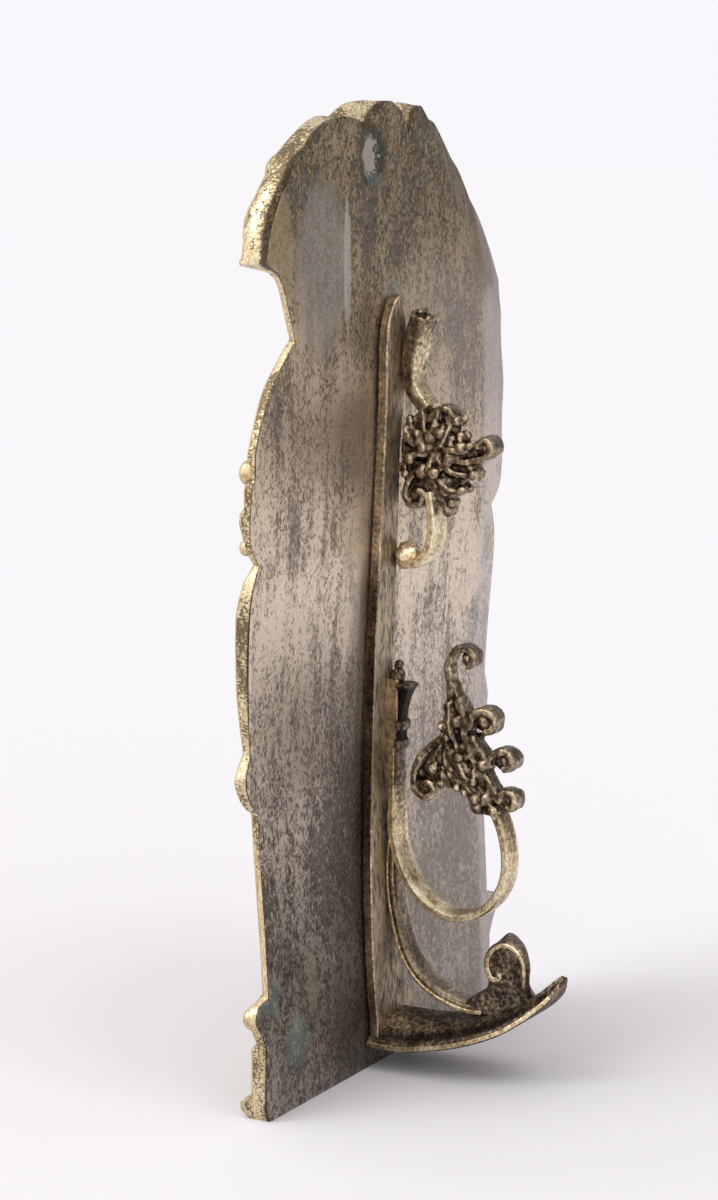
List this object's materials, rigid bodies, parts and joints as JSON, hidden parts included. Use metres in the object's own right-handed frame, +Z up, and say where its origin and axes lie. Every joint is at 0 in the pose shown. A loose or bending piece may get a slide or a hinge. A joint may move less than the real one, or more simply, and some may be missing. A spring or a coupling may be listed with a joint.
{
  "type": "liturgical pax",
  "caption": "Cast bronze pax: an upright kissing board with a shell crest, scrolled edges and a panelled front, held by a scroll handle with a finger ring on its back.",
  "frame": {"origin": "middle of the flat underside of the board's base", "axes": "X along the board, Y from the front relief towards the handle, Z up"},
  "size_m": [0.0913, 0.0546, 0.17],
  "materials": {
    "gilt_bronze": "worn gilding over dark brown bronze, rubbed flat on the back, brighter on the filed edges",
    "dark_gilt_bronze": "cast and chased bronze with rubbed gilding on the high points and dark brown patina in the hollows"
  },
  "bodies": {
    "root": {"plaque": "gilt_bronze", "handle": "dark_gilt_bronze"}
  },
  "joints": []
}
